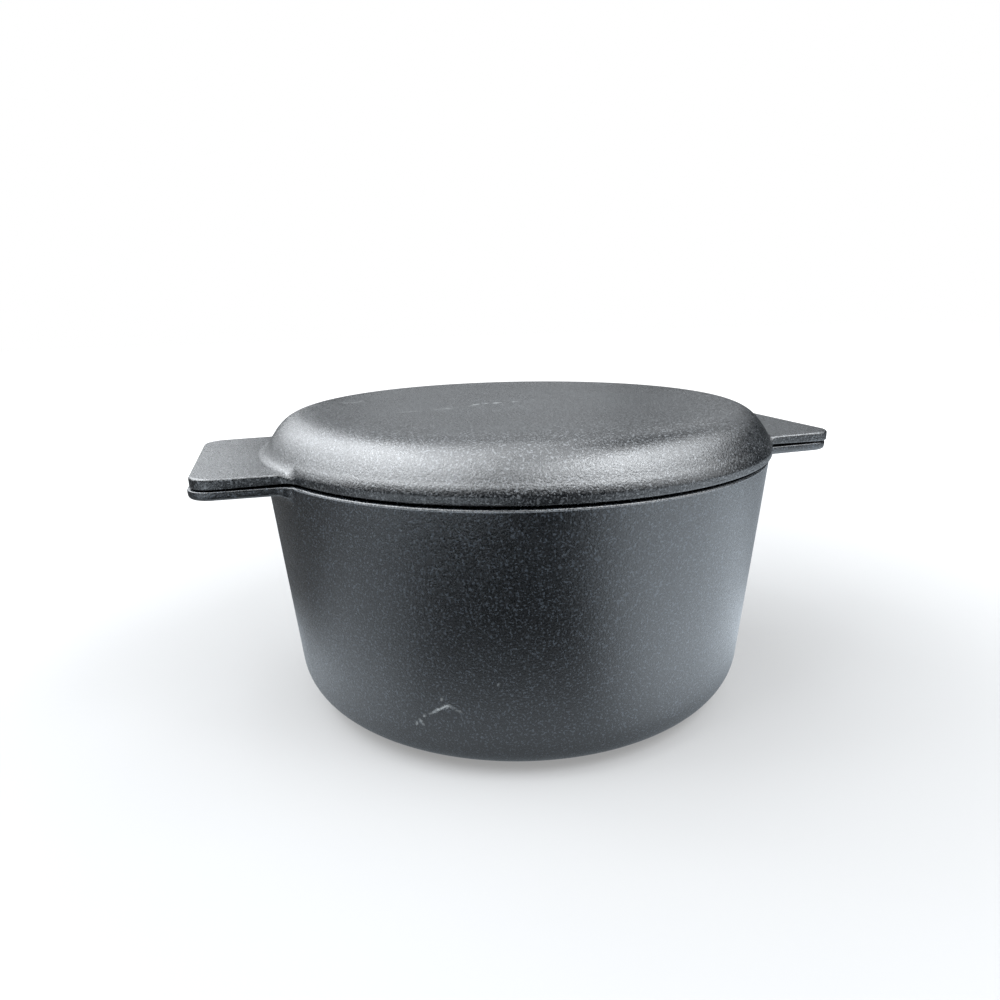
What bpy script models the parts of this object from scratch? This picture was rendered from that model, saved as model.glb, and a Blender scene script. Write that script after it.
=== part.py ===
"""Cast iron dutch oven: a tapered round pot and a low domed lid.

Each of the two is one casting. The pot carries two flat tab handles level with its rim, and the lid
carries two more that lie over them, so that a hand takes hold of both at once. The lid drops into the
mouth on a locating lip and rests on the rim.

Metres, +Z up, +X along the handles. The origin is the centre of the base, on the surface it stands on.
"""

import math

import bmesh
import bpy

# Pot
RIM_RADIUS = 0.1200  # outside of the wall at the rim
RIM_Z = 0.1157
WALL_SLOPE = 0.101  # radius gained for each unit of height
BASE_ROUND = 0.0226  # outer radius of the round corner between wall and base
WALL = 0.0045
BASE_THICK = 0.0050
RIM_ROUND = 0.0008

# Lid, heights above its seat plane
SEAT_GAP = 0.0003  # clearance under the lid where it rests on the rim
LID_SHIFT = 0.0009  # how far the lid has slid towards +X within the play of its lip
LID_WALL = 0.0045
SEAT_RADIUS = 0.1180  # outer edge of the ring that rests on the rim
BAND_LOW = 0.0011  # the narrow outer band starts above the seat plane, which leaves a shadow gap
BAND_HIGH = 0.0049
BAND_RADIUS = 0.1205
DOME_LEAN = math.radians(28.0)  # the dome starts this far from upright at the band's top edge
DOME_RISE = 0.0195  # length of the curve handle at the band
DOME_REACH = 0.0233  # length of the curve handle at the flat top
TOP_RADIUS = 0.0846
TOP_EDGE = 0.0221
TOP_CROWN = 0.0004
LIP_RADIUS = 0.1139
LIP_WIDTH = 0.0034
LIP_DEPTH = 0.0045

# Tab handles
TAB_REACH = 0.1495
TAB_HALF_WIDTH = 0.0477  # at the tip
TAB_TAPER = 0.0446  # half width gained for each unit of length towards the body
TAB_CORNER = 0.0108
TAB_FILLET = 0.0095  # where the side of a tab runs into the round body
TAB_BEVEL = 0.0010
POT_TAB_THICK = 0.0038
LID_TAB_TOP = 0.0050  # above the seat plane
LID_TAB_TIP_LOW = 0.0004  # the underside falls to this height at the tip

# Turned collars that the tabs are cut from
COLLAR_RADIUS = 0.1600  # past the tabs' tips
COLLAR_INNER = 0.1165  # inside the bodies, so that tab and body overlap before they are joined
PLAN_INNER = 0.1175
PLAN_MARGIN = 0.0100
TURN_STEPS = 64
SMOOTH_ANGLE = math.radians(30.0)


def clear_scene():
    for obj in list(bpy.data.objects):
        bpy.data.objects.remove(obj, do_unlink=True)


def new_collection(name):
    collection = bpy.data.collections.new(name)
    bpy.context.scene.collection.children.link(collection)
    return collection


def cast_iron(name, colour, roughness):
    material = bpy.data.materials.new(name)
    material.use_nodes = True
    shader = material.node_tree.nodes["Principled BSDF"]
    shader.inputs["Base Color"].default_value = (*colour, 1.0)
    shader.inputs["Roughness"].default_value = roughness
    shader.inputs["Metallic"].default_value = 0.0
    return material


def arc(centre, radius, start, end, steps):
    """Points on a circle from angle start to angle end, both in degrees, ends included."""
    points = []
    for i in range(steps + 1):
        angle = math.radians(start + (end - start) * i / steps)
        points.append((centre[0] + radius * math.cos(angle), centre[1] + radius * math.sin(angle)))
    return points


def bezier(p0, p1, p2, p3, steps):
    points = []
    for i in range(steps + 1):
        t = i / steps
        weights = ((1 - t) ** 3, 3 * (1 - t) ** 2 * t, 3 * (1 - t) * t * t, t ** 3)
        points.append(tuple(sum(w * p[k] for w, p in zip(weights, (p0, p1, p2, p3))) for k in (0, 1)))
    return points


def turned(name, profile, collection, closed=False):
    """A body turned about Z from a profile of (radius, height) points that runs down its outer side."""
    mesh = bpy.data.meshes.new(name)
    edges = [(i, i + 1) for i in range(len(profile) - 1)]
    if closed:
        edges.append((len(profile) - 1, 0))
    mesh.from_pydata([(r, 0.0, z) for r, z in profile], edges, [])
    obj = bpy.data.objects.new(name, mesh)
    collection.objects.link(obj)
    screw = obj.modifiers.new("turn", "SCREW")
    screw.steps = TURN_STEPS
    screw.render_steps = TURN_STEPS
    screw.use_merge_vertices = True
    screw.merge_threshold = 0.00001
    screw.use_smooth_shade = True
    return obj


def evaluated_mesh(obj):
    graph = bpy.context.evaluated_depsgraph_get()
    return bpy.data.meshes.new_from_object(obj.evaluated_get(graph))


def applied(obj):
    """Replaces an object's mesh by what its modifiers make of it."""
    mesh = evaluated_mesh(obj)
    obj.modifiers.clear()
    obj.data = mesh
    return obj


def prism(name, outlines, low, high, collection):
    """A solid with the given flat outlines, upright between two heights."""
    curve = bpy.data.curves.new(name, "CURVE")
    curve.dimensions = "2D"
    curve.fill_mode = "BOTH"
    curve.extrude = (high - low) / 2
    for outline in outlines:
        spline = curve.splines.new("POLY")
        spline.points.add(len(outline) - 1)
        spline.use_cyclic_u = True
        for point, (x, y) in zip(spline.points, outline):
            point.co = (x, y, 0.0, 1.0)
    guide = bpy.data.objects.new(name + "_outline", curve)
    collection.objects.link(guide)
    mesh = evaluated_mesh(guide)
    bpy.data.objects.remove(guide)
    form = bmesh.new()
    form.from_mesh(mesh)
    bmesh.ops.remove_doubles(form, verts=form.verts, dist=0.00001)
    bmesh.ops.translate(form, verts=form.verts, vec=(0.0, 0.0, (low + high) / 2))
    bmesh.ops.recalc_face_normals(form, faces=form.faces)
    form.to_mesh(mesh)
    form.free()
    obj = bpy.data.objects.new(name, mesh)
    collection.objects.link(obj)
    return obj


def boolean(obj, other, operation):
    modifier = obj.modifiers.new(operation.lower(), "BOOLEAN")
    modifier.operation = operation
    modifier.solver = "EXACT"
    modifier.object = other


def hide(obj):
    obj.hide_render = True
    obj.display_type = "WIRE"


def wall_radius(z):
    """Outside of the pot's wall."""
    return RIM_RADIUS + WALL_SLOPE * (z - RIM_Z)


def wall_corner(round_radius, inset, floor):
    """The round corner of the base, from the floor to the wall, for a skin this far inside the outside."""
    tilt = math.atan(WALL_SLOPE)
    centre_z = floor + round_radius
    tangent_z = centre_z - round_radius * math.sin(tilt)
    centre_r = wall_radius(tangent_z) - inset / math.cos(tilt) - round_radius * math.cos(tilt)
    return arc((centre_r, centre_z), round_radius, -90.0, -math.degrees(tilt), 7)


def pot_profile():
    inner_rim = RIM_RADIUS - WALL / math.cos(math.atan(WALL_SLOPE))
    inside = [(0.0, BASE_THICK)] + wall_corner(BASE_ROUND - WALL, WALL, BASE_THICK)
    inner_edge = arc((inner_rim + RIM_ROUND, RIM_Z - RIM_ROUND), RIM_ROUND, 180.0, 90.0, 2)
    outer_edge = arc((RIM_RADIUS - RIM_ROUND, RIM_Z - RIM_ROUND), RIM_ROUND, 90.0, 0.0, 2)
    outside = list(reversed(wall_corner(BASE_ROUND, 0.0, 0.0))) + [(0.0, 0.0)]
    return inside + inner_edge + outer_edge + outside


def dome_curve(steps):
    """The lid's shoulder, from the edge of the flat top down to the band."""
    band = (BAND_RADIUS, BAND_HIGH)
    rise = (band[0] - DOME_RISE * math.sin(DOME_LEAN), band[1] + DOME_RISE * math.cos(DOME_LEAN))
    edge = (TOP_RADIUS, TOP_EDGE)
    reach = (TOP_RADIUS + DOME_REACH, TOP_EDGE)
    return bezier(edge, reach, rise, band, steps)


def inset_curve(points, distance):
    """The same curve, moved sideways by a distance towards the inside of the lid."""
    moved = []
    for before, here, after in zip(points, points[1:], points[2:]):
        along = (after[0] - before[0], after[1] - before[1])
        length = math.hypot(*along)
        moved.append((here[0] + distance * along[1] / length, here[1] - distance * along[0] / length))
    return moved


def lid_profile():
    crown = [(TOP_RADIUS * k / 3, TOP_EDGE + TOP_CROWN * (1 - (k / 3) ** 2)) for k in range(3)]
    outside = crown + dome_curve(12)
    band_foot = BAND_RADIUS - WALL_SLOPE * (BAND_HIGH - BAND_LOW)
    shadow_gap = [(band_foot, BAND_LOW), (SEAT_RADIUS + BAND_LOW, BAND_LOW), (SEAT_RADIUS, 0.0)]
    lip_inner = LIP_RADIUS - LIP_WIDTH
    lip = [(LIP_RADIUS, 0.0), (LIP_RADIUS - 0.0004, -LIP_DEPTH), (lip_inner + 0.0004, -LIP_DEPTH)]
    ceiling = [p for p in inset_curve(dome_curve(16), LID_WALL) if p[0] < lip_inner]
    underside = list(reversed(ceiling)) + [(0.0, TOP_EDGE - LID_WALL)]
    return outside + shadow_gap + lip + underside


def tab_outline(side):
    """Plan of one tab handle with the fillets that run into the body, side is +1 or -1 along X."""
    norm = math.hypot(1.0, TAB_TAPER)
    across = (TAB_TAPER / norm, 1.0 / norm)
    offset = (TAB_HALF_WIDTH + TAB_TAPER * TAB_REACH) / norm
    # A fillet touches the body's circle and the side of the tab.
    span = math.sqrt((RIM_RADIUS + TAB_FILLET) ** 2 - (offset + TAB_FILLET) ** 2)
    fillet = (
        across[0] * (offset + TAB_FILLET) + span / norm,
        across[1] * (offset + TAB_FILLET) - span * TAB_TAPER / norm,
    )
    body_angle = math.degrees(math.atan2(fillet[1], fillet[0]))
    side_angle = math.degrees(math.atan2(across[1], across[0]))
    corner_x = TAB_REACH - TAB_CORNER
    corner = (corner_x, norm * (offset - TAB_CORNER) - TAB_TAPER * corner_x)
    half = arc((0.0, 0.0), PLAN_INNER, body_angle, body_angle, 1)[:1]
    half += arc(fillet, TAB_FILLET, 180.0 + body_angle, 180.0 + side_angle, 6)
    half += arc(corner, TAB_CORNER, side_angle, 0.0, 7)
    mirrored = [(x, -y) for x, y in reversed(half)]
    return [(side * x, side * y) for x, y in half + mirrored]


def make_tabs(name, section, collection):
    """Both tabs of one casting: a turned collar trimmed to the tabs' plan, with its edges eased."""
    collar = turned(name, section, collection, closed=True)
    heights = [z for _, z in section]
    outlines = [tab_outline(1), tab_outline(-1)]
    plan = prism(name + "_plan", outlines, min(heights) - PLAN_MARGIN, max(heights) + PLAN_MARGIN, collection)
    boolean(collar, plan, "INTERSECT")
    bevel = collar.modifiers.new("ease", "BEVEL")
    bevel.width = TAB_BEVEL
    bevel.segments = 2
    bevel.limit_method = "ANGLE"
    bevel.angle_limit = math.radians(50.0)
    hide(plan)
    hide(collar)
    return collar


def pot_tab_section():
    low = RIM_Z - POT_TAB_THICK
    return [(COLLAR_INNER, RIM_Z), (COLLAR_RADIUS, RIM_Z), (COLLAR_RADIUS, low), (COLLAR_INNER, low)]


def lid_tab_section():
    """The underside falls outwards, so that the shadow gap closes towards the tips."""
    fall = (BAND_LOW - LID_TAB_TIP_LOW) / (TAB_REACH - BAND_RADIUS)
    collar_low = BAND_LOW - fall * (COLLAR_RADIUS - BAND_RADIUS)
    top = [(COLLAR_INNER, LID_TAB_TOP), (COLLAR_RADIUS, LID_TAB_TOP)]
    return top + [(COLLAR_RADIUS, collar_low), (RIM_RADIUS, BAND_LOW), (COLLAR_INNER, BAND_LOW)]


def make_casting(name, profile, tab_section, material, parts, cutters):
    body = turned(name, profile, parts)
    tabs = make_tabs(name + "_tabs", tab_section, cutters)
    boolean(body, tabs, "UNION")
    applied(body)
    body.data.shade_smooth()
    body.data.set_sharp_from_angle(angle=SMOOTH_ANGLE)
    body.data.materials.clear()
    body.data.materials.append(material)
    return body


def build():
    clear_scene()
    parts = new_collection("cast_iron_dutch_oven")
    cutters = new_collection("tab_guides")
    pot_iron = cast_iron("pot_iron", (0.042, 0.045, 0.050), 0.50)
    lid_iron = cast_iron("lid_iron", (0.048, 0.051, 0.056), 0.48)
    make_casting("pot", pot_profile(), pot_tab_section(), pot_iron, parts, cutters)
    lid = make_casting("lid", lid_profile(), lid_tab_section(), lid_iron, parts, cutters)
    lid.location = (LID_SHIFT, 0.0, RIM_Z + SEAT_GAP)


build()
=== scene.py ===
"""Looks of the cast iron dutch oven: fine cast meshes, iron materials, studio stage and camera.

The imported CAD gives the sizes. Both castings are rebuilt here as one smooth skin each, laid round the
plan outline of body and tabs, so that every corner and root has its real rounding.
"""

import math

import bpy
import numpy as np
from mathutils import Matrix, Vector


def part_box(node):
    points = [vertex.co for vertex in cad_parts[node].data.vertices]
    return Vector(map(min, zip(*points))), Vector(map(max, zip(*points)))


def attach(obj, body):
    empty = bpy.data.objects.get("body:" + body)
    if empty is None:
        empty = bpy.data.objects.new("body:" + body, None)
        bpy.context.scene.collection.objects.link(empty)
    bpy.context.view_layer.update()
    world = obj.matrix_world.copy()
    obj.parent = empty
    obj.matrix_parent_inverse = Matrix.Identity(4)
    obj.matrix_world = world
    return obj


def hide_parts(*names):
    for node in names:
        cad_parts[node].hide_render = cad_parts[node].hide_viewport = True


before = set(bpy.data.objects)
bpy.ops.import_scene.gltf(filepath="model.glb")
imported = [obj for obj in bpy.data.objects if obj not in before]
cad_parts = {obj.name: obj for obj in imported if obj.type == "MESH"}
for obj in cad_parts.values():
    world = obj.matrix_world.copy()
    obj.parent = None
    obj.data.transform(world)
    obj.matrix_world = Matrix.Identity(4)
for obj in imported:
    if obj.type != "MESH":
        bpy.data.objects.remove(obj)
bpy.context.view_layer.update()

# Driving sizes, read from the frame
POT_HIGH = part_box("pot")[1]
LID_LOW, LID_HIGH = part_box("lid")
RIM_Z = POT_HIGH[2]
RIM_RADIUS = POT_HIGH[1]
REACH = POT_HIGH[0]
LID_SHIFT = (LID_LOW[0] + LID_HIGH[0]) / 2
BAND_RADIUS = LID_HIGH[1]
SEAT_GAP = 0.0003
SEAT_Z = RIM_Z + SEAT_GAP

# Pot
WALL_SLOPE = 0.101
WALL_TILT = math.atan(WALL_SLOPE)
WALL = 0.0045
WALL_ACROSS = WALL / math.cos(WALL_TILT)
BASE_ROUND = 0.0226
BASE_THICK = 0.0050
RIM_ROUND = 0.0011
RIM_INNER_ROUND = 0.0005
RIM_CIRCLE = 0.1184
MOUTH_RADIUS = RIM_RADIUS - WALL_ACROSS
MOUTH_DEPTH = 0.0030

# Lid, heights above its seat plane
TOP_Z = LID_HIGH[2] - SEAT_Z
TOP_CROWN = 0.0004
TOP_EDGE = TOP_Z - TOP_CROWN
TOP_RADIUS = 0.0846
BAND_LOW = 0.0011
BAND_HIGH = 0.0049
BAND_DRAFT = 0.04
CREASE_ROUND = 0.0010
FOOT_ROUND = 0.00035
DOME_LEAN = math.radians(28.0)
DOME_RISE = 0.0195
DOME_REACH = 0.0233
LID_WALL = 0.0045
CEILING_Z = TOP_EDGE - LID_WALL
LIP_RADIUS = 0.1139
LIP_WIDTH = 0.0034
LIP_IN = LIP_RADIUS - LIP_WIDTH
LIP_DEPTH = SEAT_Z - LID_LOW[2]
LIP_DRAFT = 0.0002

# The dark gap under the band: (radius, share of the gap's height), in to the seat ring
GAP_OUT = 0.1196
GAP_PROFILE = [(0.1192, 0.96), (0.1188, 0.75), (0.1184, 0.36), (0.1182, 0.10), (0.1180, 0.0)]

# The seat ring and the top of the lip: (radius, height)
SEAT_PROFILE = [(0.1162, 0.0), (0.1145, 0.0), (0.1141, -0.0001), (LIP_RADIUS, -0.0004)]

# Each lower corner of the lip: (step in from its side, height above its foot)
LIP_CORNER = [(0.0003, 0.0006), (0.0005, 0.0002), (0.0009, 0.0)]

# Tab handles
TAB_HALF_WIDTH = 0.0477
TAB_TAPER = 0.0446
TAB_CORNER = 0.0108
TAB_FILLET = 0.0095
TAB_DRAFT = 0.03
POT_TAB_THICK = 0.0038
POT_TAB_LOW = RIM_Z - POT_TAB_THICK
POT_TAB_EDGE = 0.0005
POT_TAB_ROUND = 0.0016
POT_TAB_ROOT = 0.0060
POT_TAB_FADE = 0.0035
POT_TAB_CLEAR = 0.0008
POT_TAB_START = POT_TAB_LOW - POT_TAB_ROOT - POT_TAB_CLEAR
LID_TAB_TOP = 0.0050
LID_TAB_TIP_LOW = 0.0004
LID_TAB_ROUND = 0.0012
LID_FILLET_ROUND = 0.0020

# The hollow root of the lid's tabs: its radius, how fast it grows inwards from the outline, and
# the radii between which the top's rings follow it
LID_TAB_ROOT = 0.0042
ROOT_GROWTH = 3.0
ROOT_LEAST = 0.00001
ROOT_IN = 0.1115
ROOT_OUT = 0.1270

# Mesh density
BODY_STEPS = 110
CORNER_STEPS = 14
EDGE_STEPS = 6
DOME_STEPS = 241
DOME_SKIP = 6
CEILING_SKIP = 7
DISTANCE_BATCH = 4096

# Radius of the ring nearest the axis, margins short of a corner, and the share of its radius that a
# ring on the lid's top keeps, so that it stays inside the outline
POT_CENTRE = 0.010
LID_CENTRE = 0.006
FLAT_MARGIN = 0.001
BASE_MARGIN = 0.0005
INSIDE_ROOT = 1 - 1e-4
INSIDE_TAB = 1 - 5e-5


def smooth_step(t):
    """Eases from 0 to 1."""
    t = np.clip(t, 0.0, 1.0)
    return t * t * (3.0 - 2.0 * t)


def mix(a, b, t):
    return a + (b - a) * t


def unit(angle):
    """Unit vectors in plan at the given angles."""
    return np.stack([np.cos(angle), np.sin(angle)], axis=-1)


# ---------------------------------------------------------------- plan outline

def quarter_outline():
    """Tip centre to the +Y side: points, outward normals, and 1 on the tab fading to 0 on the body."""
    norm = math.hypot(1.0, TAB_TAPER)
    across = np.array([TAB_TAPER, 1.0]) / norm
    along = np.array([1.0, -TAB_TAPER]) / norm
    offset = (TAB_HALF_WIDTH + TAB_TAPER * REACH) / norm
    span = math.sqrt((RIM_RADIUS + TAB_FILLET) ** 2 - (offset + TAB_FILLET) ** 2)
    fillet = across * (offset + TAB_FILLET) + along * span
    corner_x = REACH - TAB_CORNER
    corner = np.array([corner_x, norm * (offset - TAB_CORNER) - TAB_TAPER * corner_x])
    body_angle = math.atan2(fillet[1], fillet[0])
    side_angle = math.atan2(across[1], across[0])

    pieces = []
    y = np.linspace(0.0, corner[1], CORNER_STEPS, endpoint=False)
    tip = np.stack([np.full_like(y, REACH), y], axis=1)
    pieces.append((tip, np.tile([1.0, 0.0], (len(y), 1)), np.ones(len(y))))
    a = np.linspace(0.0, side_angle, CORNER_STEPS, endpoint=False)
    pieces.append((corner + TAB_CORNER * unit(a), unit(a), np.ones(len(a))))
    start = corner + TAB_CORNER * across
    end = fillet - TAB_FILLET * across
    t = np.linspace(0.0, 1.0, CORNER_STEPS, endpoint=False)[:, None]
    pieces.append((mix(start, end, t), np.tile(across, (len(t), 1)), np.ones(len(t))))
    t = np.linspace(0.0, 1.0, 2 * CORNER_STEPS, endpoint=False)
    a = mix(side_angle, body_angle, t) + math.pi
    pieces.append((fillet + TAB_FILLET * unit(a), -unit(a), 1.0 - smooth_step(t)))
    a = np.linspace(body_angle, math.pi / 2, BODY_STEPS // 2)
    pieces.append((RIM_RADIUS * unit(a), unit(a), np.zeros(len(a))))
    return [np.concatenate(column) for column in zip(*pieces)]


def full_outline():
    """The whole outline, counter-clockwise from the +X tip."""
    points, normals, tab = quarter_outline()
    points = np.concatenate([points, (points * [-1, 1])[-2::-1]])
    normals = np.concatenate([normals, (normals * [-1, 1])[-2::-1]])
    tab = np.concatenate([tab, tab[-2::-1]])
    points = np.concatenate([points, (points * [1, -1])[-2:0:-1]])
    normals = np.concatenate([normals, (normals * [1, -1])[-2:0:-1]])
    tab = np.concatenate([tab, tab[-2:0:-1]])
    return points, normals, tab


def edge_distance(xy, outline):
    """Distance from each point to the outline."""
    start = outline
    step = np.roll(outline, -1, axis=0) - start
    length2 = (step ** 2).sum(axis=1)
    distance = np.empty(len(xy))
    for i in range(0, len(xy), DISTANCE_BATCH):
        gap = xy[i:i + DISTANCE_BATCH, None] - start[None]
        t = np.clip((gap * step).sum(axis=2) / length2, 0.0, 1.0)
        away = ((gap - t[..., None] * step) ** 2).sum(axis=2)
        distance[i:i + DISTANCE_BATCH] = np.sqrt(away.min(axis=1))
    return distance


# ---------------------------------------------------------------- skin of rings

def ring(xy, z):
    """Points in plan at one height, or each at its own."""
    z = np.broadcast_to(z, (len(xy),))
    return np.concatenate([xy, z[:, None]], axis=1)


def circle(direction, radius, z):
    """A round ring, with its points in the given directions."""
    return ring(direction * radius, z)


def skin(name, rings, first_centre, last_centre):
    """A closed mesh through a stack of rings, with a centre point at either end."""
    count = len(rings[0])
    verts = np.concatenate(rings + [np.array([first_centre]), np.array([last_centre])])
    index = np.arange(count)
    after = np.roll(index, -1)
    faces = []
    for k in range(len(rings) - 1):
        low, high = k * count, (k + 1) * count
        faces += np.stack([index + low, after + low, after + high, index + high], axis=1).tolist()
    first, last = len(rings) * count, len(rings) * count + 1
    top = (len(rings) - 1) * count
    faces += [[first, b, a] for a, b in zip(index.tolist(), after.tolist())]
    faces += [[last, top + a, top + b] for a, b in zip(index.tolist(), after.tolist())]
    mesh = bpy.data.meshes.new(name)
    mesh.from_pydata(verts.tolist(), [], faces)
    mesh.validate()
    mesh.shade_smooth()
    obj = bpy.data.objects.new(name, mesh)
    bpy.context.scene.collection.objects.link(obj)
    return obj


# ---------------------------------------------------------------- lid

def dome_table():
    """(radius, height) along the shoulder, from the band's top edge up to the edge of the flat top."""
    band = np.array([BAND_RADIUS, BAND_HIGH])
    rise = band + DOME_RISE * np.array([-math.sin(DOME_LEAN), math.cos(DOME_LEAN)])
    edge = np.array([TOP_RADIUS, TOP_EDGE])
    reach = edge + [DOME_REACH, 0.0]
    t = np.linspace(0.0, 1.0, DOME_STEPS)[:, None]
    low_half = (1 - t) ** 3 * band + 3 * (1 - t) ** 2 * t * rise
    return low_half + 3 * (1 - t) * t * t * reach + t ** 3 * edge


DOME = dome_table()


def dome_height(r):
    """Height of the lid's top by radius; outside the band it runs on down the shoulder's slope."""
    crown = TOP_EDGE + TOP_CROWN * (1.0 - (r / TOP_RADIUS) ** 2)
    shoulder = np.interp(r, DOME[::-1, 0], DOME[::-1, 1])
    outside = BAND_HIGH - (r - BAND_RADIUS) / math.tan(DOME_LEAN)
    return np.where(r < TOP_RADIUS, crown, np.where(r < BAND_RADIUS, shoulder, outside))


def lid_top(xy, outline):
    """Height of dome and tabs together, with a hollow root that fades out at the outline."""
    r = np.hypot(xy[:, 0], xy[:, 1])
    dome = dome_height(r)
    root = np.clip(ROOT_GROWTH * edge_distance(xy, outline), ROOT_LEAST, LID_TAB_ROOT)
    overlap = np.clip(root - np.abs(dome - LID_TAB_TOP), 0.0, None) / root
    return np.maximum(dome, LID_TAB_TOP) + overlap ** 2 * root / 4


def lid_tab_low(r):
    """Height of the underside of the lid's tabs, which falls a little towards the tip."""
    fall = (BAND_LOW - LID_TAB_TIP_LOW) / (REACH - BAND_RADIUS)
    return BAND_LOW - fall * np.clip(r - BAND_RADIUS, 0.0, REACH - BAND_RADIUS)


def polar(xy):
    """Radius and direction of each point."""
    r = np.hypot(xy[:, 0], xy[:, 1])
    return r, xy / r[:, None]


def lid_top_rings(outline, inner):
    """From the flat centre out over the shoulder, the hollow root and the tabs."""
    reach, direction = polar(inner)
    rings = []
    for r in np.linspace(LID_CENTRE, TOP_RADIUS - FLAT_MARGIN, 14):
        rings.append(circle(direction, r, dome_height(np.array(r))))
    table = DOME[::-1]
    shoulder = table[(table[:, 0] > TOP_RADIUS) & (table[:, 0] < ROOT_IN)]
    for r, z in shoulder[::DOME_SKIP]:
        rings.append(circle(direction, r, z))
    root_out = np.minimum(reach, ROOT_OUT)
    for t in np.linspace(0.0, 1.0, 22):
        xy = direction * mix(ROOT_IN, root_out, t)[:, None] * INSIDE_ROOT
        rings.append(ring(xy, lid_top(xy, outline)))
    for t in (0.15, 0.35, 0.55, 0.75, 0.9, 0.97):
        xy = direction * mix(root_out, reach, t)[:, None] * INSIDE_TAB
        rings.append(ring(xy, lid_top(xy, outline)))
    return rings


def lid_edge_rings(outline, normals, edge_round):
    """Over the rounded top edge and down to the side."""
    rings = []
    for a in np.linspace(0.0, math.pi / 2, EDGE_STEPS + 1):
        xy = outline - normals * (edge_round * (1 - math.cos(a)))[:, None]
        z = lid_top(xy, outline) - edge_round * (1 - math.sin(a))
        rings.append(ring(xy, z))
    return rings[::-1]


def lid_side_rings(outline, normals, tab, side_top):
    """Down the band and the tab sides, and round their foot."""
    side_low = mix(BAND_LOW, lid_tab_low(np.hypot(*outline.T)), tab) + FOOT_ROUND
    slope = mix(BAND_DRAFT, TAB_DRAFT, tab)
    rings = []
    for t in np.linspace(0.0, 1.0, 6)[1:]:
        z = mix(side_top, side_low, t)
        xy = outline - normals * (slope * (side_top - z))[:, None]
        rings.append(ring(xy, z))
    side_foot = rings[-1][:, :2]
    for a in np.linspace(0.0, math.pi / 2, 4)[1:]:
        xy = side_foot - normals * (FOOT_ROUND * (1 - math.cos(a)))
        rings.append(ring(xy, side_low - FOOT_ROUND * math.sin(a)))
    return rings


def lip_profile():
    """(radius, height) from the seat ring down the outside of the locating lip and up its inside."""
    outside = [(LIP_RADIUS - step, up - LIP_DEPTH) for step, up in LIP_CORNER]
    inside = [(LIP_IN + step, up - LIP_DEPTH) for step, up in reversed(LIP_CORNER)]
    return SEAT_PROFILE + outside + inside


def lid_under_rings(foot, tab):
    """In along the underside of the tabs, up the gap, along the seat ring and round the lip."""
    reach, direction = polar(foot)
    gap_out = np.minimum(reach, GAP_OUT)
    rings = []
    for t in (0.04, 0.2, 0.4, 0.6, 0.8, 1.0):
        r = mix(reach, gap_out, t)
        rings.append(ring(direction * r[:, None], mix(BAND_LOW, lid_tab_low(r), tab)))
    for r, share in GAP_PROFILE:
        rings.append(circle(direction, r, BAND_LOW * share))
    for r, z in lip_profile():
        rings.append(circle(direction, r, z))
    return rings


def lid_ceiling_rings(direction):
    """Up inside the lip and over the hollow: the shoulder moved inwards by the wall, then a flat."""
    tangent = np.gradient(DOME, axis=0)
    tangent /= np.linalg.norm(tangent, axis=1)[:, None]
    ceiling = DOME + LID_WALL * np.stack([-tangent[:, 1], tangent[:, 0]], axis=1)
    ceiling = ceiling[(ceiling[:, 0] < LIP_IN)][::CEILING_SKIP]
    start_r, start_z = ceiling[0]
    rings = []
    for t in (0.3, 0.6, 0.85):
        rings.append(circle(direction, mix(LIP_IN + LIP_DRAFT, start_r, t), mix(-LIP_DEPTH, start_z, t)))
    for r, z in ceiling:
        rings.append(circle(direction, r, z))
    for r in np.linspace(ceiling[-1, 0], LID_CENTRE, 9)[1:]:
        rings.append(circle(direction, r, CEILING_Z))
    return rings


def build_lid():
    """The whole lid as one skin, its edge rounded most in the fillet between tab and band."""
    outline, normals, tab = full_outline()
    grow = BAND_RADIUS - RIM_RADIUS
    outline = outline + normals * (grow * (1.0 - tab))[:, None]
    edge_round = mix(CREASE_ROUND, LID_TAB_ROUND, tab) + 4.0 * tab * (1.0 - tab) * LID_FILLET_ROUND
    rings = lid_top_rings(outline, outline - normals * edge_round[:, None])
    rings += lid_edge_rings(outline, normals, edge_round)
    rings += lid_side_rings(outline, normals, tab, rings[-1][:, 2])
    foot = rings[-1][:, :2]
    rings += lid_under_rings(foot, tab)
    rings += lid_ceiling_rings(polar(foot)[1])
    obj = skin("lid_casting", rings, (0.0, 0.0, TOP_Z), (0.0, 0.0, CEILING_Z))
    obj.data.transform(Matrix.Translation((LID_SHIFT, 0.0, SEAT_Z)))
    return obj


# ---------------------------------------------------------------- pot

def wall_radius(z):
    """Radius of the outside of the wall at a height."""
    return RIM_RADIUS + WALL_SLOPE * (z - RIM_Z)


def base_corner(inset, floor, steps):
    """(radius, height) round the base corner, from the floor up to the wall."""
    round_radius = BASE_ROUND - inset
    centre_z = floor + round_radius
    tangent_z = centre_z - round_radius * math.sin(WALL_TILT)
    wall_r = wall_radius(tangent_z) - inset / math.cos(WALL_TILT)
    centre_r = wall_r - round_radius * math.cos(WALL_TILT)
    a = np.linspace(-math.pi / 2, -WALL_TILT, steps)
    return np.stack([centre_r + round_radius * np.cos(a), centre_z + round_radius * np.sin(a)], axis=1)


def root_centre():
    """Radius of the centre of the hollow under the tabs, which touches the wall."""
    return wall_radius(POT_TAB_LOW - POT_TAB_ROOT) + POT_TAB_ROOT / math.cos(WALL_TILT)


def root_turn(low_inner):
    """How far the hollow turns from the wall towards the underside, as the outline leaves room."""
    room = np.hypot(*low_inner.T) - root_centre()
    return np.arccos(np.clip(room / POT_TAB_ROOT, -math.cos(WALL_TILT), 0.0))


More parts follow.
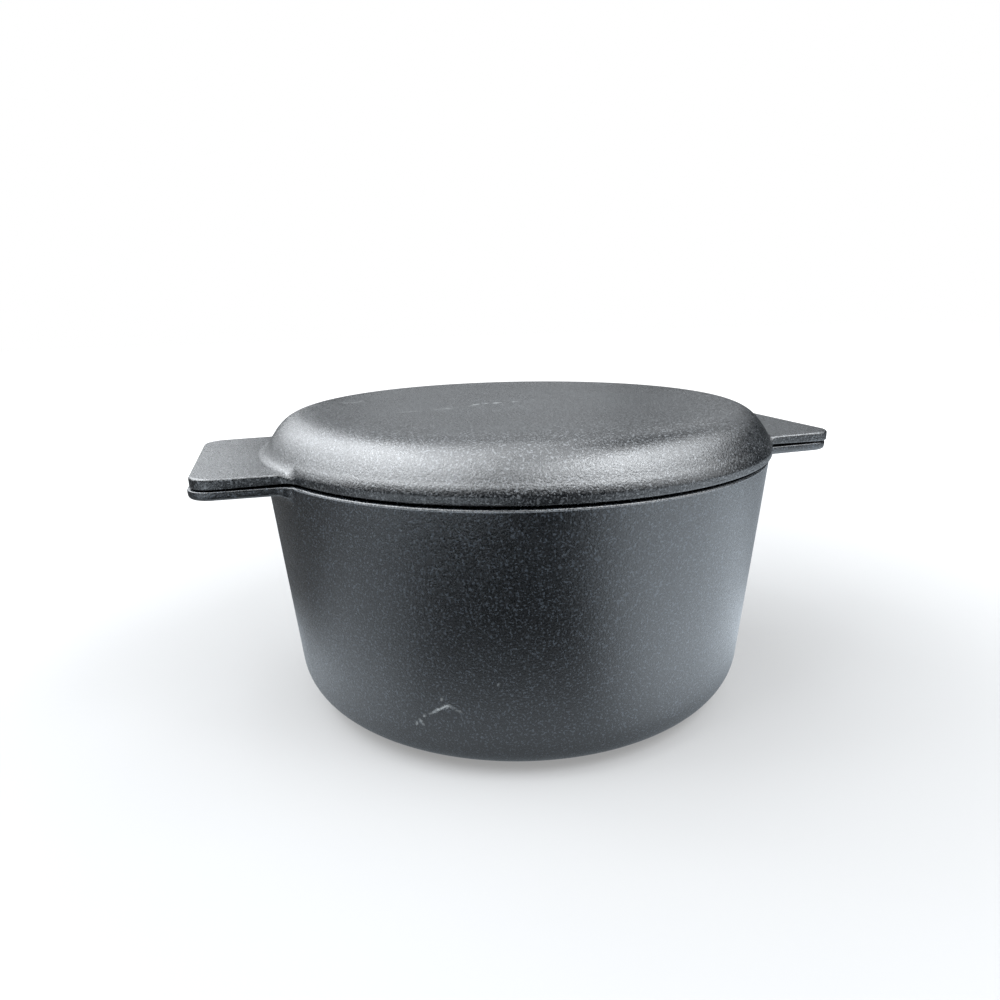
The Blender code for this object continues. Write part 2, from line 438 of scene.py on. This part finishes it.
def pot_tab_rings(outline, normals, slope, low_round, turn, top_round):
    """Along the tabs: root hollow, underside, lower edge and side. Also each ring's directions."""
    under = POT_TAB_LOW - POT_TAB_ROOT * (1 - np.sin(turn))
    low_outline = outline - normals * (slope * (RIM_Z - under))[:, None]
    reach, direction = polar(low_outline - normals * low_round[:, None])
    rings = []
    for t in np.linspace(0.0, 1.0, 10):
        a = mix(math.pi - WALL_TILT, turn, t)
        r = root_centre() + POT_TAB_ROOT * np.cos(a)
        rings.append(ring(direction * r[:, None], POT_TAB_LOW - POT_TAB_ROOT * (1 - np.sin(a))))
    start = np.hypot(*rings[-1][:, :2].T)
    for t in (0.08, 0.25, 0.45, 0.65, 0.85, 1.0):
        rings.append(ring(direction * mix(start, reach, t)[:, None], under))
    for a in np.linspace(0.0, math.pi / 2, EDGE_STEPS + 1)[1:]:
        xy = low_outline - normals * (low_round * (1 - math.sin(a)))[:, None]
        rings.append(ring(xy, under + low_round * (1 - math.cos(a))))
    side_low = rings[-1][:, 2]
    for t in (0.33, 0.66, 1.0):
        z = mix(side_low, RIM_Z - top_round, t)
        xy = outline - normals * (slope * (RIM_Z - z))[:, None]
        rings.append(ring(xy, z))
    return direction, rings


def pot_wall_rings(direction):
    """From the centre of the base round its corner and up the wall to just under the tabs."""
    corner = base_corner(0.0, 0.0, 22)
    rings = []
    for r in np.linspace(POT_CENTRE, corner[0, 0] - BASE_MARGIN, 10):
        rings.append(circle(direction, r, 0.0))
    for r, z in corner:
        rings.append(circle(direction, r, z))
    for z in np.linspace(corner[-1, 1], POT_TAB_START, 28)[1:]:
        rings.append(circle(direction, wall_radius(z), z))
    return rings


def pot_rim_rings(outline, normals, slope, top_round):
    """Over the upper edge, in along the rim and the tab tops, and round into the mouth."""
    rings = []
    for a in np.linspace(0.0, math.pi / 2, EDGE_STEPS)[1:]:
        drop = top_round * (1 - math.sin(a))
        xy = outline - normals * (top_round * (1 - math.cos(a)) + slope * drop)[:, None]
        rings.append(ring(xy, RIM_Z - drop))
    reach, direction = polar(rings[-1][:, :2])
    rim_out = np.minimum(reach, RIM_CIRCLE)
    for t in (0.03, 0.2, 0.4, 0.6, 0.8, 1.0):
        rings.append(ring(direction * mix(reach, rim_out, t)[:, None], RIM_Z))
    for a in np.linspace(math.pi / 2, math.pi, EDGE_STEPS):
        r = MOUTH_RADIUS + RIM_INNER_ROUND * (1 + math.cos(a))
        rings.append(circle(direction, r, RIM_Z - RIM_INNER_ROUND * (1 - math.sin(a))))
    return direction, rings


def pot_inside_rings(direction):
    """Down the inside of the wall, round its corner and in to the centre of the floor."""
    corner = base_corner(WALL, BASE_THICK, 18)
    rings = []
    for z in np.linspace(RIM_Z - MOUTH_DEPTH, corner[-1, 1], 24)[:-1]:
        rings.append(circle(direction, wall_radius(z) - WALL_ACROSS, z))
    for r, z in corner[::-1]:
        rings.append(circle(direction, r, z))
    for r in np.linspace(corner[0, 0], POT_CENTRE, 10)[1:]:
        rings.append(circle(direction, r, BASE_THICK))
    return rings


def build_pot():
    """The whole pot as one skin; where no tab stands out, the tab rings lie straight on the wall."""
    outline, normals, tab = full_outline()
    slope = mix(WALL_SLOPE, TAB_DRAFT, tab)
    top_round = mix(RIM_ROUND, POT_TAB_EDGE, tab)
    low_outline = outline - normals * (slope * (RIM_Z - POT_TAB_LOW))[:, None]
    stand_out = np.clip(np.hypot(*low_outline.T) - wall_radius(POT_TAB_LOW), 0.0, None)
    presence = smooth_step(stand_out / POT_TAB_FADE)
    low_round = np.minimum(POT_TAB_ROUND, 0.5 * stand_out)
    turn = root_turn(low_outline - normals * low_round[:, None])
    direction, path = pot_tab_rings(outline, normals, slope, low_round, turn, top_round)
    rings = pot_wall_rings(direction)
    heights = np.linspace(POT_TAB_START, RIM_Z - RIM_ROUND, len(path) + 1)[1:]
    for tab_ring, z in zip(path, heights):
        wall_ring = circle(direction, wall_radius(z), z)
        rings.append(mix(wall_ring, tab_ring, presence[:, None]))
    direction, rim = pot_rim_rings(outline, normals, slope, top_round)
    rings += rim + pot_inside_rings(direction)
    return skin("pot_casting", rings[::-1], (0.0, 0.0, BASE_THICK), (0.0, 0.0, 0.0))


# ---------------------------------------------------------------- iron

IRON_IOR = 1.8
IRON_DARK = (0.0014, 0.0021, 0.0031, 1.0)
IRON_LIGHT = (0.0032, 0.0043, 0.0056, 1.0)
POT_FLECK = (0.046, 0.055, 0.066, 1.0)
LID_FLECK = (0.082, 0.087, 0.092, 1.0)
CHALK = (0.42, 0.44, 0.44, 1.0)
CHALK_GAIN = 2.0

# Noise patterns: (scale, detail, roughness, distortion)
GRAIN_NOISE = (1250.0, 2.0, 0.7)
SAND_NOISE = (1150.0, 1.0, 0.6)
RIPPLE_NOISE = (28.0, 2.0, 0.5)
CLOUD_NOISE = (16.0, 3.0, 0.6, 0.4)
CHALK_NOISE = (900.0, 3.0, 0.65)

# How a pattern is used: (value where it starts, value where it is full), then the result at either
CLOUD_COLOUR = (0.35, 0.68)
SAND_COLOUR = (0.55, 0.66)
CHALK_BREAKUP = (0.36, 0.62, 0.15, 1.0)
RIM_HIGHLIGHT_BREAKUP = (0.35, 0.60, 0.5, 1.0)
GRAIN_ROUGHNESS = (0.3, 0.7, -0.08, 0.08)
CLOUD_ROUGHNESS = (0.3, 0.7, 0.265, 0.32)
RUBBED_ROUGHNESS = 0.25

# Relief
RIPPLE_STRENGTH = 0.12
RIPPLE_DEPTH = 0.0012
GRAIN_STRENGTH = 1.0
POT_GRAIN_DEPTH = 0.00012
LID_GRAIN_DEPTH = 0.00016

# The painted highlight along the pot's rim, a thin light line like bare iron on the lower part of its
# outer rounding: depths below the rim, distances from its radius
RIM_HIGHLIGHT_COLOUR = (0.18, 0.19, 0.20, 1.0)
RIM_HIGHLIGHT_LOW = 0.0012
RIM_HIGHLIGHT_HIGH = 0.0010
RIM_HIGHLIGHT_FROM = 0.00024
RIM_HIGHLIGHT_FULL = 0.00010
RIM_HIGHLIGHT_END = 0.0004


class Nodes:
    """Short helpers for building one node tree."""

    def __init__(self, material):
        self.material = material
        self.material.use_nodes = True
        self.tree = self.material.node_tree
        self.shader = self.tree.nodes["Principled BSDF"]
        self.coords = self.tree.nodes.new("ShaderNodeTexCoord").outputs["Object"]

    def put(self, socket, value):
        if isinstance(value, bpy.types.NodeSocket):
            self.tree.links.new(value, socket)
        else:
            socket.default_value = value

    def noise(self, scale, detail=2.0, roughness=0.5, distortion=0.0):
        node = self.tree.nodes.new("ShaderNodeTexNoise")
        self.put(node.inputs["Vector"], self.coords)
        node.inputs["Scale"].default_value = scale
        node.inputs["Detail"].default_value = detail
        node.inputs["Roughness"].default_value = roughness
        node.inputs["Distortion"].default_value = distortion
        return node.outputs["Fac"]

    def math(self, operation, a, b=0.0, clamp=False):
        node = self.tree.nodes.new("ShaderNodeMath")
        node.operation = operation
        node.use_clamp = clamp
        self.put(node.inputs[0], a)
        self.put(node.inputs[1], b)
        return node.outputs[0]

    def vector(self, operation, a, b=None):
        node = self.tree.nodes.new("ShaderNodeVectorMath")
        node.operation = operation
        self.put(node.inputs[0], a)
        if b is not None:
            self.put(node.inputs[1], b)
        return node.outputs["Vector" if operation in ("NORMALIZE", "MULTIPLY") else "Value"]

    def remap(self, value, low, high, to_low=0.0, to_high=1.0):
        node = self.tree.nodes.new("ShaderNodeMapRange")
        node.interpolation_type = "SMOOTHSTEP"
        self.put(node.inputs["Value"], value)
        node.inputs["From Min"].default_value = low
        node.inputs["From Max"].default_value = high
        node.inputs["To Min"].default_value = to_low
        node.inputs["To Max"].default_value = to_high
        return node.outputs["Result"]

    def mix(self, factor, a, b):
        node = self.tree.nodes.new("ShaderNodeMix")
        node.data_type = "RGBA"
        self.put(node.inputs["Factor"], factor)
        self.put(node.inputs["A"], a)
        self.put(node.inputs["B"], b)
        return node.outputs["Result"]

    def bump(self, height, strength, distance, below=None):
        node = self.tree.nodes.new("ShaderNodeBump")
        node.inputs["Strength"].default_value = strength
        node.inputs["Distance"].default_value = distance
        self.put(node.inputs["Height"], height)
        if below is not None:
            self.put(node.inputs["Normal"], below)
        return node.outputs["Normal"]

    def dab(self, start, end, width, normal):
        """A soft lens-shaped dab from start to end: 1 along its middle, 0 at its edge."""
        start, end, normal = Vector(start), Vector(end), Vector(normal).normalized()
        along = (end - start).normalized()
        side = normal.cross(along).normalized()
        turn = Matrix((along, side, along.cross(side))).transposed().to_euler()
        node = self.tree.nodes.new("ShaderNodeMapping")
        node.vector_type = "TEXTURE"
        self.put(node.inputs["Vector"], self.coords)
        node.inputs["Location"].default_value = (start + end) / 2
        node.inputs["Rotation"].default_value = turn
        node.inputs["Scale"].default_value = ((end - start).length / 2 + width / 2, width / 2, width)
        ball = self.tree.nodes.new("ShaderNodeTexGradient")
        ball.gradient_type = "SPHERICAL"
        self.put(ball.inputs["Vector"], node.outputs["Vector"])
        return ball.outputs["Fac"]

    def chalk(self, dabs):
        """All dabs together, broken up like chalk dragged over a grainy surface."""
        total = 0.0
        for start, end, width, normal, strength in dabs:
            dab = self.math("MULTIPLY", self.dab(start, end, width, normal), strength * CHALK_GAIN)
            total = self.math("MAXIMUM", total, dab)
        broken = self.remap(self.noise(*CHALK_NOISE), *CHALK_BREAKUP)
        return self.math("MULTIPLY", total, broken, clamp=True)


def rim_highlight_mask(n, grain):
    """Mask of the painted highlight: a thin light line along the rim's outer edge."""
    out = n.vector("LENGTH", n.vector("MULTIPLY", n.coords, (1.0, 1.0, 0.0)))
    height = n.vector("DOT_PRODUCT", n.coords, (0.0, 0.0, 1.0))
    on_rim = n.remap(out, RIM_RADIUS, RIM_RADIUS + RIM_HIGHLIGHT_END, 1.0, 0.0)
    on_edge = n.remap(out, RIM_RADIUS - RIM_HIGHLIGHT_FROM, RIM_RADIUS - RIM_HIGHLIGHT_FULL)
    highlight = n.remap(height, RIM_Z - RIM_HIGHLIGHT_LOW, RIM_Z - RIM_HIGHLIGHT_HIGH)
    highlight = n.math("MULTIPLY", highlight, n.math("MULTIPLY", on_rim, on_edge))
    return n.math("MULTIPLY", highlight, n.remap(grain, *RIM_HIGHLIGHT_BREAKUP))


def iron(name, dabs, fleck, grain_depth, paint_rim_highlight=False):
    """Matt black cast iron: sand grain, slow ripple, faint mottling, chalky rubs, maybe a painted
    highlight line on the rim.
    """
    n = Nodes(bpy.data.materials.new(name))
    grain = n.noise(*GRAIN_NOISE)
    sand = n.noise(*SAND_NOISE)
    ripple = n.noise(*RIPPLE_NOISE)
    cloud = n.noise(*CLOUD_NOISE)
    rubbed = n.chalk(dabs)

    # Colour
    black = n.mix(n.remap(cloud, *CLOUD_COLOUR), IRON_DARK, IRON_LIGHT)
    black = n.mix(n.remap(sand, *SAND_COLOUR), black, fleck)
    # Painted highlight: a thin light line on the rim's outer rounding, coloured like bare iron
    if paint_rim_highlight:
        black = n.mix(rim_highlight_mask(n, grain), black, RIM_HIGHLIGHT_COLOUR)
    n.put(n.shader.inputs["Base Color"], n.mix(rubbed, black, CHALK))

    # Gloss
    rough = n.math("ADD", n.remap(grain, *GRAIN_ROUGHNESS), n.remap(cloud, *CLOUD_ROUGHNESS))
    rough = n.math("ADD", rough, n.math("MULTIPLY", rubbed, RUBBED_ROUGHNESS))
    n.put(n.shader.inputs["Roughness"], rough)
    n.shader.inputs["IOR"].default_value = IRON_IOR

    # Relief
    normal = n.bump(ripple, RIPPLE_STRENGTH, RIPPLE_DEPTH)
    normal = n.bump(grain, GRAIN_STRENGTH, grain_depth, normal)
    n.put(n.shader.inputs["Normal"], normal)
    return n.material


def wall_point(angle, z):
    """The point on the outside of the wall at an angle in degrees and a height."""
    a = math.radians(angle)
    r = wall_radius(z)
    return (r * math.cos(a), r * math.sin(a), z)


def pot_dabs():
    """The chalky rub low on the front of the wall: (start, end, width, normal, strength)."""
    # (degrees, height) at either end, width, strength. The places began as marks in the photo, put
    # on the wall through the fitted camera by a scratch program, and were then drawn out by hand
    strokes = [
        ((-128.9, 0.0228), (-128.7, 0.0236), 0.0018, 0.47),
        ((-128.0, 0.0252), (-127.2, 0.0232), 0.0019, 0.55),
        ((-126.9, 0.0272), (-126.6, 0.0280), 0.0016, 0.42),
        ((-125.6, 0.0288), (-124.2, 0.0304), 0.0015, 0.38),
        ((-124.5, 0.0300), (-123.0, 0.0322), 0.0019, 0.72),
        ((-123.2, 0.0318), (-121.6, 0.0338), 0.0018, 0.81),
        ((-122.5, 0.0327), (-121.2, 0.0340), 0.0023, 0.85),
        ((-121.4, 0.0338), (-119.9, 0.0330), 0.0018, 0.30),
        ((-122.7, 0.0358), (-122.5, 0.0372), 0.0016, 0.30),
        ((-119.8, 0.0322), (-118.6, 0.0316), 0.0016, 0.26),
        ((-111.0, 0.0448), (-110.8, 0.0453), 0.0014, 0.30),
    ]
    dabs = []
    for (a0, z0), (a1, z1), width, strength in strokes:
        a = math.radians((a0 + a1) / 2)
        normal = (math.cos(a), math.sin(a), -WALL_SLOPE)
        dabs.append((wall_point(a0, z0), wall_point(a1, z1), width, normal, strength))
    return dabs


def lid_dabs():
    """Faint rubs across the flat top: short bright dashes, a long pale line and a curved nick."""
    # (x, y) at either end, width, strength. The places were found as those on the pot were
    strokes = [
        ((-0.0225, -0.0060), (-0.0190, -0.0045), 0.0019, 0.64),
        ((-0.0172, -0.0040), (-0.0140, -0.0034), 0.0017, 0.51),
        ((-0.0128, -0.0042), (-0.0080, -0.0040), 0.0019, 0.68),
        ((-0.0030, -0.0040), (0.0015, -0.0020), 0.0017, 0.47),
        ((0.0090, -0.0010), (0.0100, -0.0005), 0.0015, 0.30),
        ((-0.0620, -0.0165), (-0.0480, -0.0150), 0.0017, 0.24),
        ((-0.0450, -0.0145), (-0.0300, -0.0120), 0.0019, 0.27),
        ((-0.0260, -0.0100), (-0.0225, -0.0080), 0.0015, 0.26),
        ((-0.0805, 0.0330), (-0.0770, 0.0308), 0.0017, 0.38),
        ((-0.0770, 0.0308), (-0.0725, 0.0322), 0.0017, 0.42),
        ((-0.0725, 0.0322), (-0.0700, 0.0360), 0.0015, 0.30),
        ((-0.0180, -0.0300), (-0.0170, -0.0295), 0.0017, 0.30),
    ]
    height = SEAT_Z + TOP_EDGE + TOP_CROWN
    dabs = []
    for (x0, y0), (x1, y1), width, strength in strokes:
        dabs.append(((x0, y0, height), (x1, y1, height), width, (0.0, 0.0, 1.0), strength))
    return dabs


# ---------------------------------------------------------------- stage

STUDIO_TINT = (0.965, 1.0, 1.035)
ROOM_LIGHT = 0.012
SOFTBOX_AIM = 0.1

# (name, azimuth, elevation, distance, width, height, radiance). The levels began as a least-squares
# fit to the photo's shading and were then rounded and changed
SOFTBOXES = [
    ("left_back_high", 225, 45, 1.3, 0.70, 0.60, 5.0),
    ("left_back_low", 225, 25, 1.3, 0.70, 0.40, 3.0),
    ("left_high", 255, 45, 1.3, 0.80, 0.70, 4.6),
    ("left_low", 255, 22, 1.3, 0.80, 0.50, 3.3),
    ("left_front", 285, 45, 1.3, 0.80, 0.70, 5.4),
    ("left_top", 270, 68, 1.3, 0.90, 0.60, 4.2),
    ("front_left", 315, 50, 1.3, 0.50, 0.60, 3.8),
    ("top", 0, 88, 1.3, 0.80, 0.80, 3.0),
    ("front_high", 0, 50, 1.3, 0.50, 0.50, 6.6),
    ("front_right_low", 30, 28, 1.3, 0.60, 0.40, 2.3),
    ("front_right", 35, 50, 1.3, 0.50, 0.50, 8.4),
    ("right_high", 58, 45, 1.3, 0.70, 0.60, 5.4),
    ("right", 62, 25, 1.3, 0.70, 0.50, 2.3),
    ("right_strip", 60, 8, 1.3, 0.80, 0.35, 1.5),
    ("right_side", 90, 40, 1.3, 0.60, 0.60, 3.2),
    ("right_top", 60, 68, 1.3, 0.80, 0.50, 1.8),
    ("back", 178, 25, 1.6, 1.40, 0.70, 0.6),
    ("back_low", 157, 15, 1.6, 1.20, 0.50, 0.3),
    ("back_left", 202, 22, 1.6, 0.80, 0.60, 2.0),
    ("back_left_low", 212, 7, 1.6, 0.70, 0.35, 0.8),
    ("back_top", 180, 60, 1.4, 1.20, 0.80, 2.4),
    ("back_right", 132, 30, 1.5, 0.80, 0.70, 0.8),
]

FLOOR_HALF = 4.0
FLOOR_COLOUR = (0.22, 0.22, 0.22, 1.0)
FLOOR_ROUGHNESS = 0.9
FLOOR_GLOW = 0.30
FLOOR_NEAR = 0.20
FLOOR_FAR = 0.75

# What the white table sends up at the pot, by direction round it: (degrees from +X, cosine where
# it starts, cosine where it is full, radiance, nearest and farthest distance)
TABLE_LOBES = [
    (-163.0, 0.88, 1.00, 0.50, 0.08, 0.40),
    (-140.0, 0.77, 0.97, 3.20, 0.42, 0.90),
    (-38.0, 0.61, 0.96, 1.60, 0.08, 0.75),
    (40.0, 0.60, 0.95, 0.60, 0.08, 0.75),
]
TABLE_RISE = 0.12
TABLE_FALL = 0.75
TABLE_HALF = 0.90
TABLE_DROP = 0.0005
TABLE_TINT = (0.90, 1.0, 1.10, 1.0)

# By distance from the pot's axis: (nearest, farthest, value near, value far)
TABLE_SHADE = (0.10, 0.15, 0.30, 1.0)
TABLE_NEAR = (0.09, 0.22, 1.00, 0.0)

# Where the photo was taken from: degrees round from -Y, metres, and degrees of turn; lens in mm
CAMERA_AZIMUTH = -16.98
CAMERA_DISTANCE = 0.3742
CAMERA_HEIGHT = 0.1855
CAMERA_TURN = 1.235
CAMERA_PITCH = -14.577
CAMERA_ROLL = -1.244
CAMERA_SENSOR = 36.0
CAMERA_LENS = 27.37
CAMERA_NEAR = 0.01


def link(obj):
    bpy.context.scene.collection.objects.link(obj)
    return obj


def area_light(name, place, turn, width, height, radiance):
    """A soft panel of a given brightness that the camera doesn't see."""
    light = bpy.data.lights.new(name, "AREA")
    light.shape = "RECTANGLE"
    light.size = width
    light.size_y = height
    light.energy = math.pi * width * height * radiance
    light.color = STUDIO_TINT
    obj = bpy.data.objects.new(name, light)
    obj.location = place
    obj.rotation_euler = turn
    obj.visible_camera = False
    return link(obj)


def softbox(name, azimuth, elevation, distance, width, height, radiance):
    """A softbox that faces the pot; azimuth 0 is in front of it (-Y), 90 is on its +X side."""
    a, e = math.radians(azimuth), math.radians(elevation)
    out = Vector((math.sin(a) * math.cos(e), -math.cos(a) * math.cos(e), math.sin(e)))
    place = Vector((0.0, 0.0, SOFTBOX_AIM)) + distance * out
    turn = (-out).to_track_quat("-Z", "Y").to_euler()
    area_light(name, place, turn, width, height, radiance)


def make_lights():
    for box in SOFTBOXES:
        softbox(*box)


def plane(name, half, z):
    """A level square that is part of the stage."""
    corners = [(-half, -half, z), (half, -half, z), (half, half, z), (-half, half, z)]
    mesh = bpy.data.meshes.new(name)
    mesh.from_pydata(corners, [], [(0, 1, 2, 3)])
    obj = link(bpy.data.objects.new(name, mesh))
    return obj


def table_lobe(n, length, heading, degrees, low, high, radiance, near, far):
    """The table's light to one side of the pot, rising from near and gone at far."""
    a = math.radians(degrees)
    lobe = n.vector("DOT_PRODUCT", heading, (math.cos(a), math.sin(a), 0.0))
    lobe = n.remap(lobe, low, high, 0.0, radiance)
    lobe = n.math("MULTIPLY", lobe, n.remap(length, near, near + TABLE_RISE, 0.0, 1.0))
    return n.math("MULTIPLY", lobe, n.remap(length, TABLE_FALL * far, far, 1.0, 0.0))


def make_table_bounce():
    """The light that comes up off the table: strongest from the front left, then the front right."""
    board = plane("table_bounce", TABLE_HALF, -TABLE_DROP)
    board.visible_camera = False
    board.visible_shadow = False
    n = Nodes(bpy.data.materials.new("table_bounce"))
    length = n.vector("LENGTH", n.coords)
    heading = n.vector("NORMALIZE", n.coords)
    total = n.remap(length, *TABLE_NEAR)
    for lobe in TABLE_LOBES:
        total = n.math("ADD", total, table_lobe(n, length, heading, *lobe))
    total = n.math("MULTIPLY", total, n.remap(length, *TABLE_SHADE))
    n.shader.inputs["Base Color"].default_value = (0.0, 0.0, 0.0, 1.0)
    n.shader.inputs["Emission Color"].default_value = TABLE_TINT
    n.put(n.shader.inputs["Emission Strength"], total)
    board.data.materials.append(n.material)


def camera_axes(heading, pitch, roll):
    """Right, up and backward of the camera as the columns of a matrix."""
    level = math.cos(pitch)
    forward = Vector((-math.sin(heading) * level, math.cos(heading) * level, math.sin(pitch)))
    right = Vector((math.cos(heading), math.sin(heading), 0.0))
    up = right.cross(forward)
    tilted_right = right * math.cos(roll) + up * math.sin(roll)
    tilted_up = up * math.cos(roll) - right * math.sin(roll)
    return Matrix((tilted_right, tilted_up, -forward)).transposed()


def make_camera():
    """A close wide-angle view, about 15 degrees down, a little from the left."""
    azimuth = math.radians(CAMERA_AZIMUTH)
    heading = azimuth + math.radians(CAMERA_TURN)
    axes = camera_axes(heading, math.radians(CAMERA_PITCH), math.radians(CAMERA_ROLL))
    out = CAMERA_DISTANCE * math.sin(azimuth), -CAMERA_DISTANCE * math.cos(azimuth)
    place = Vector((*out, CAMERA_HEIGHT))
    data = bpy.data.cameras.new("camera")
    data.sensor_width = CAMERA_SENSOR
    data.lens = CAMERA_LENS
    data.clip_start = CAMERA_NEAR
    obj = bpy.data.objects.new("camera", data)
    obj.matrix_world = Matrix.Translation(place) @ axes.to_4x4()
    link(obj)
    bpy.context.scene.camera = obj


def make_world():
    """White as the camera sees it, and a dim room to everything else."""
    world = bpy.data.worlds.new("studio")
    world.use_nodes = True
    tree = world.node_tree
    room = tree.nodes["Background"]
    room.inputs["Color"].default_value = (*STUDIO_TINT, 1.0)
    room.inputs["Strength"].default_value = ROOM_LIGHT
    white = tree.nodes.new("ShaderNodeBackground")
    white.inputs["Strength"].default_value = 1.0
    white.inputs["Color"].default_value = (1.0, 1.0, 1.0, 1.0)
    path = tree.nodes.new("ShaderNodeLightPath")
    choose = tree.nodes.new("ShaderNodeMixShader")
    tree.links.new(path.outputs["Is Camera Ray"], choose.inputs[0])
    tree.links.new(room.outputs[0], choose.inputs[1])
    tree.links.new(white.outputs[0], choose.inputs[2])
    tree.links.new(choose.outputs[0], tree.nodes["World Output"].inputs["Surface"])
    bpy.context.scene.world = world


def make_floor():
    """Pale paper with a painted glow, dim round the pot and rising to white far out."""
    floor = plane("floor", FLOOR_HALF, 0.0)
    n = Nodes(bpy.data.materials.new("floor_paper_glow"))
    n.shader.inputs["Base Color"].default_value = FLOOR_COLOUR
    n.shader.inputs["Roughness"].default_value = FLOOR_ROUGHNESS
    n.shader.inputs["Specular IOR Level"].default_value = 0.0
    n.shader.inputs["Emission Color"].default_value = (1.0, 1.0, 1.0, 1.0)
    # Painted light: the floor glows, least round the pot and full white far off
    glow = n.remap(n.vector("LENGTH", n.coords), FLOOR_NEAR, FLOOR_FAR, FLOOR_GLOW, 1.0)
    n.put(n.shader.inputs["Emission Strength"], glow)
    floor.data.materials.append(n.material)
    floor.visible_glossy = False
    floor.visible_diffuse = False
    floor.visible_shadow = False


# ---------------------------------------------------------------- the scene

pot = build_pot()
pot.data.materials.append(iron("pot_iron", pot_dabs(), POT_FLECK, POT_GRAIN_DEPTH, paint_rim_highlight=True))
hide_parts("pot")
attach(pot, "pot")
lid = build_lid()
lid.data.materials.append(iron("lid_iron", lid_dabs(), LID_FLECK, LID_GRAIN_DEPTH))
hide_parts("lid")
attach(lid, "lid")

make_camera()
make_world()
make_floor()
make_table_bounce()
make_lights()
bpy.context.scene.view_settings.view_transform = "Standard"
